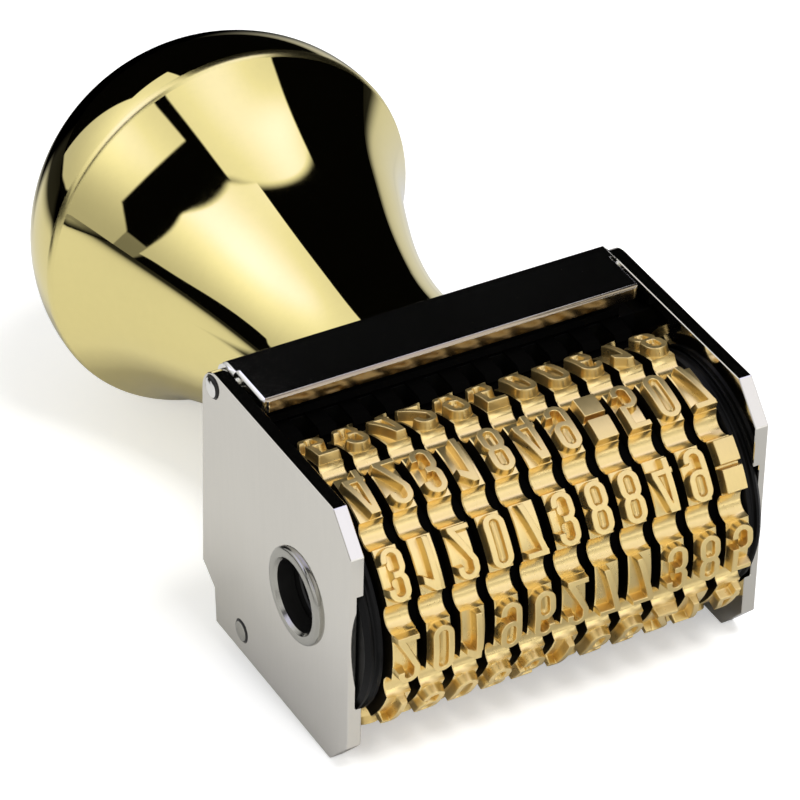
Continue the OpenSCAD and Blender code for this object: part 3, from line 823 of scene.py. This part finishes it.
# %% A tenth of a wheel
wheel_w, wheel_pitch, wheel_count, figure_count = 3.0, 4.25, 11, 10
land_r, valley_r, scallop_r, bore_r = face_r - relief, 13.9, 1.7, 5.05
first_turn, step_turn = math.radians(2), math.radians(36)
rim_edge, weld_gap, side_limit = 0.12, 0.004, 0.9


def wheel_tenth():
    """Half a scallop, the land under a figure and another half scallop, as one shell."""
    centre = valley_r + scallop_r
    last = math.acos((centre**2 + scallop_r**2 - land_r**2) / (2 * centre * scallop_r))
    arc = []
    for a in np.linspace(0, last, 13):
        across, out = scallop_r * math.sin(a), centre - scallop_r * math.cos(a)
        arc.append((math.atan2(across, out), math.hypot(across, out)))
    half = [(-step_turn / 2 + a, r) for a, r in arc]
    edge = -half[-1][0]
    land = [(a, land_r) for a in np.linspace(-edge, edge, 14)[1:-1]]
    places = half + land + [(-a, r) for a, r in reversed(half)]
    work = bmesh.new()
    rows = []
    x = wheel_w / 2
    for a, r in places:
        section = [(-x, bore_r), (-x, r - rim_edge), (-x + rim_edge, r),
                   (x - rim_edge, r), (x, r - rim_edge), (x, bore_r)]
        turn = first_turn + a
        rows.append([work.verts.new((px, -math.cos(turn) * pr, math.sin(turn) * pr))
                     for px, pr in section])
    for first, second in zip(rows, rows[1:]):
        for k in range(len(first)):
            after = (k + 1) % len(first)
            work.faces.new((first[k], first[after], second[after], second[k]))
    mesh = bpy.data.meshes.new("wheel_tenth")
    work.to_mesh(mesh)
    work.free()
    return mesh


tenth = bpy.data.objects.new("wheel_tenth", wheel_tenth())
bpy.context.scene.collection.objects.link(tenth)
print("faces in a tenth of a wheel:", len(tenth.data.polygons))


# %% A tree with named inputs
def new_tree(name, inputs):
    """An empty tree with these inputs: the tree, its inputs' identifiers and its inputs' sockets."""
    tree = bpy.data.node_groups.new(name, "GeometryNodeTree")
    tree.interface.new_socket("Geometry", in_out="OUTPUT", socket_type="NodeSocketGeometry")
    names = {label: tree.interface.new_socket(label, in_out="INPUT",
                                              socket_type="NodeSocket" + kind).identifier
             for label, kind in inputs.items()}
    return tree, names, add(tree, "NodeGroupInput").outputs


tree, wheel_inputs, given = new_tree("number_wheel", {
    "Tenth": "Object", "Figures": "Collection", "First figure": "Int", "Blank place": "Int",
    "Middle": "Float", "Face radius": "Float", "Land radius": "Float", "First turn": "Float",
    "Step": "Float", "Finish": "Material", "Side shade": "Material"})
print("inputs of the wheel's tree:", len(wheel_inputs))

# %% The strip of figures
# Ten figures in a row, from the first one on, with a blank at its place. The blank comes after the
# ten figures in the type case, so its number there is the figures' count.
strip_step = calc(tree, "MULTIPLY", given["Step"], given["Face radius"])
places = output(tree, "GeometryNodeMeshLine",
                {"Count": figure_count, "Offset": vector(tree, y=strip_step)},
                mode="OFFSET", count_mode="TOTAL")
index = output(tree, "GeometryNodeInputIndex")
counted = calc(tree, "MODULO", calc(tree, "ADD", given["First figure"], index), figure_count)
is_blank = add(tree, "FunctionNodeCompare", data_type="INT", operation="EQUAL")
tree.links.new(index, is_blank.inputs[2])
tree.links.new(given["Blank place"], is_blank.inputs[3])
pick = output(tree, "GeometryNodeSwitch",
              {"Switch": is_blank.outputs[0], "False": counted, "True": figure_count},
              input_type="INT")
case = output(tree, "GeometryNodeCollectionInfo",
              {"Collection": given["Figures"], "Separate Children": True, "Reset Children": True})
strip = output(tree, "GeometryNodeInstanceOnPoints", {
    "Points": places, "Instance": case, "Pick Instance": True, "Instance Index": pick})
strip = output(tree, "GeometryNodeRealizeInstances", {0: strip})
print("nodes up to the strip:", len(tree.nodes))

# %% The strip wrapped round the wheel
# The way along the strip becomes a turn, and the height a distance from the shaft.
at = add(tree, "ShaderNodeSeparateXYZ", {0: output(tree, "GeometryNodeInputPosition")}).outputs
turn = calc(tree, "ADD", given["First turn"], calc(tree, "DIVIDE", at["Y"], given["Face radius"]))
reach = calc(tree, "ADD", given["Land radius"], at["Z"])
forward = calc(tree, "MULTIPLY", calc(tree, "COSINE", turn), calc(tree, "MULTIPLY", reach, -1.0))
upward = calc(tree, "MULTIPLY", calc(tree, "SINE", turn), reach)
wrapped = output(tree, "GeometryNodeSetPosition",
                 {"Geometry": strip, "Position": vector(tree, at["X"], forward, upward)})
raised = output(tree, "GeometryNodeSetMaterial", {"Geometry": wrapped, "Material": given["Finish"]})
print("nodes up to the raised figures:", len(tree.nodes))

# %% The rim, ten tenths round the shaft, its sides in painted shade
around = output(tree, "GeometryNodeMeshLine", {"Count": figure_count, "Offset": (0, 0, 0)},
                mode="OFFSET", count_mode="TOTAL")
tenth_turns = calc(tree, "MULTIPLY", calc(tree, "MULTIPLY", index, given["Step"]), -1.0)
tenth_in = add(tree, "GeometryNodeObjectInfo",
               {"Object": given["Tenth"], "As Instance": True}).outputs["Geometry"]
rim = output(tree, "GeometryNodeInstanceOnPoints",
             {"Points": around, "Instance": tenth_in, "Rotation": vector(tree, tenth_turns)})
rim = output(tree, "GeometryNodeRealizeInstances", {0: rim})
rim = output(tree, "GeometryNodeMergeByDistance", {"Geometry": rim, "Distance": weld_gap})
rim = output(tree, "GeometryNodeSetMaterial", {"Geometry": rim, "Material": given["Finish"]})
# Faces that look along the shaft are the flat sides, and they take the painted shade.
facing = add(tree, "ShaderNodeSeparateXYZ", {0: output(tree, "GeometryNodeInputNormal")}).outputs["X"]
on_side = calc(tree, "GREATER_THAN", calc(tree, "ABSOLUTE", facing), side_limit)
rim = output(tree, "GeometryNodeSetMaterial",
             {"Geometry": rim, "Selection": on_side, "Material": given["Side shade"]})
print("nodes up to the rim:", len(tree.nodes))

# %% Rim and figures together
whole = add(tree, "GeometryNodeJoinGeometry", {0: rim})
tree.links.new(raised, whole.inputs[0])
moved = output(tree, "GeometryNodeTransform",
               {"Geometry": whole.outputs[0], "Translation": vector(tree, given["Middle"])})
add(tree, "NodeGroupOutput", {0: output(tree, "GeometryNodeRealizeInstances", {0: moved})})
print("nodes in the whole tree:", len(tree.nodes))


# %% Grow a plain mesh from a tree
def grow(name, tree, names, values):
    """Runs the tree with these inputs and returns its result as a plain mesh in the scene's place."""
    seed = bpy.data.objects.new(name, bpy.data.meshes.new(name + "_seed"))
    bpy.context.scene.collection.objects.link(seed)
    modifier = seed.modifiers.new("grow", "NODES")
    modifier.node_group = tree
    for label, value in values.items():
        modifier[names[label]] = value
    seed.update_tag()
    graph = bpy.context.evaluated_depsgraph_get()
    graph.update()
    mesh = bpy.data.meshes.new_from_object(seed.evaluated_get(graph))
    bpy.data.objects.remove(seed)
    mesh.transform(to_place)
    set_shading(mesh, 30)
    return mesh


# %% The eleven wheels
front_figure = [2, 0, 1, 9, 6, 2, 7, 7, 3, 8, 5]
blank_place = [-1, -1, -1, -1, -1, -1, -1, 2, -1, -1, 1]
for i in range(wheel_count):
    number = f"{i + 1:02d}"
    mesh = grow("wheel_" + number, tree, wheel_inputs, {
        "Tenth": tenth, "Figures": type_case, "First figure": front_figure[i],
        "Blank place": blank_place[i], "Middle": (i - wheel_count // 2) * wheel_pitch,
        "Face radius": face_r, "Land radius": land_r, "First turn": first_turn, "Step": step_turn,
        "Finish": brass_cut, "Side shade": side_painted_shade})
    place(f"number_wheel_{number}", mesh, None, f"wheel_{number}_body", "machined_brass",
          "wheel_" + number)
print("faces on the last wheel:", len(mesh.polygons))

# %% [markdown]
# ## Spacers on the shaft
# A thin ring keeps each wheel off the next, so that one turns alone. The rings
# are all alike and stand at an even pitch. An Array modifier could repeat them,
# but a second, smaller tree also sets the first one's place and the finish.

# %% The spacers' tree
tree, ring_inputs, given = new_tree("rings_in_a_row", {
    "Ring": "Object", "Count": "Int", "Pitch": "Float", "First": "Float", "Finish": "Material"})
row = output(tree, "GeometryNodeMeshLine", {
    "Count": given["Count"], "Start Location": vector(tree, given["First"]),
    "Offset": vector(tree, given["Pitch"])}, mode="OFFSET", count_mode="TOTAL")
ring_in = add(tree, "GeometryNodeObjectInfo",
              {"Object": given["Ring"], "As Instance": True}).outputs["Geometry"]
ring_row = output(tree, "GeometryNodeInstanceOnPoints", {"Points": row, "Instance": ring_in})
ring_row = output(tree, "GeometryNodeRealizeInstances", {0: ring_row})
add(tree, "NodeGroupOutput", {0: output(tree, "GeometryNodeSetMaterial", {
    "Geometry": ring_row, "Material": given["Finish"]})})
print("nodes in the spacers' tree:", len(tree.nodes))

# %% The spacers
spacer_r, shaft_r, spacer_edge, play = 13.4, 5.0, 0.1, 0.03
half = (wheel_pitch - wheel_w) / 2 - play
spacer_outline = [(shaft_r, -half), (spacer_r - spacer_edge, -half), (spacer_r, -half + spacer_edge),
                  (spacer_r, half - spacer_edge), (spacer_r - spacer_edge, half), (shaft_r, half)]
spacer = bpy.data.objects.new("spacer", turned("spacer", spacer_outline, "x", 72, hollow=True))
bpy.context.scene.collection.objects.link(spacer)
mesh = grow("spacers", tree, ring_inputs, {
    "Ring": spacer, "Count": wheel_count - 1, "Pitch": wheel_pitch,
    "First": -(wheel_count - 2) * wheel_pitch / 2, "Finish": spacer_black})
place("spacer_rings", mesh, spacer_black, "head", "black_discs", "wheel_spacers")
print("spacer faces:", len(mesh.polygons))

# %% [markdown]
# ## The hollow shaft
# The shaft is a tube. Its end is rolled over the cheek into a round lip, and the
# way in is eased by a small cone, which shows as a bright line round the dark
# bore. A shallow groove inside gives the faint arc that is seen in the dark. A
# cylinder with a hole would need a bevel for each of these, so the section of
# the tube's wall is drawn once and turned, like the knob.

# %% The shaft
tube_r, lip_r, lip_t, out_half = 4.3, 5.8, 0.6, 26.45
lip_round, lip_foot, groove = 0.45, 0.12, 0.16
lip = [(lip_r - lip_round + lip_round * math.cos(a), lip_foot + lip_round * math.sin(a))
       for a in np.linspace(0, math.pi / 2, 8)]
mouth = [(tube_r + 0.42, lip_t - 0.03), (tube_r + 0.32, lip_t - 0.05), (tube_r, 0.15)]
left = [(r, -out_half - d) for r, d in [(lip_r, 0.0)] + lip + [(5.2, lip_t)] + mouth]
inside = [(tube_r, -out_half + 1.9), (tube_r + groove, -out_half + 2.1),
          (tube_r + groove, -out_half + 2.6), (tube_r, -out_half + 2.8)]
inside += [(r, -d) for r, d in reversed(inside)]
far_end = [(tube_r, out_half + 0.3), (tube_r + 0.25, out_half + lip_t), (shaft_r, out_half + lip_t)]
shaft_mesh = turned("shaft", [(shaft_r, -out_half)] + left + inside + far_end, "x", 96, hollow=True)
shaft_mesh.transform(to_place)
set_shading(shaft_mesh, 35)
place("shaft_tube", shaft_mesh, nickel, "head", "nickel_shaft", "hollow_shaft")
shaft_mesh.materials.append(bore_and_pin_shade)
# The faces inside the tube take the near black: painted shade in the bore.
for face in shaft_mesh.polygons:
    off_axis = math.hypot(face.center.y, face.center.z)
    if off_axis < (tube_r + 0.2) * MM and abs(face.center.x) < (out_half - 0.1) * MM:
        face.material_index = 1
print("shaft faces:", len(shaft_mesh.polygons))

# %% The ring on its right end
collar = [(shaft_r, out_half), (lip_r, out_half)] + [(r, out_half + d) for r, d in lip]
collar.append((shaft_r, out_half + lip_t))
collar_mesh = turned("collar", collar, "x", 96, hollow=True)
collar_mesh.transform(to_place)
set_shading(collar_mesh, 35)
place("shaft_collar", collar_mesh, nickel, "head", "nickel_shaft", "shaft_ring")
print("ring faces:", len(collar_mesh.polygons))

# %% [markdown]
# ## Pins, the stud and a clear bench
# Each pin ends in a low dome, whose outer ring is painted dark: painted shade, as from the wall of the
# hole round the pin. A squashed sphere could be the dome, but one turned outline makes pin and domes a
# single closed piece.
# The stud between block and knob keeps its solid and only gets a finish. The patterns that the trees
# repeated aren't part of the stamp, so they leave the scene.

# %% Two pins with round heads
def pin_outline(r, dome):
    head = [(r * math.cos(a), dome * math.sin(a)) for a in np.linspace(0, math.pi / 2, 12)[:-1]]
    head.append((0.01, dome))
    return [(q, -out_half - d) for q, d in reversed(head)] + [(q, out_half + d) for q, d in head]


pin_r = 1.42
shade_ring_from = 0.82 * pin_r
pins = {"lever_pin": (20.1, 15.4, 0.5), "tie_pin": (13.0, -14.3, 0.3)}
for name, (y, z, dome) in pins.items():
    mesh = turned(name + "_round", pin_outline(pin_r, dome), "x", 48)
    mesh.transform(to_place @ Matrix.Translation((0, y, z)))
    set_shading(mesh, 40)
    metal = nickel if name == "tie_pin" else chrome
    place(name + "_round", mesh, metal, "head", "polished_steel", name)
    mesh.materials.append(bore_and_pin_shade)
    # The outer ring of each dome takes the near black: painted shade, as from the hole round the pin.
    axis = to_place @ Vector((0, y, z))
    for face in mesh.polygons:
        if math.hypot(face.center.y - axis.y, face.center.z - axis.z) > shade_ring_from * MM:
            face.material_index = 1
print("pins:", len(pins))

# %% The stud stays as it is, with a finish of its own
stud_materials = frame["nodes"]["handle_stud"].data.materials
stud_materials.clear()
stud_materials.append(chrome)
print("the stud's finish:", stud_materials[0].name)

# %% Clear the workbench
for obj in [tenth, spacer] + list(type_case.objects):
    bpy.data.objects.remove(obj)
bpy.data.collections.remove(type_case)
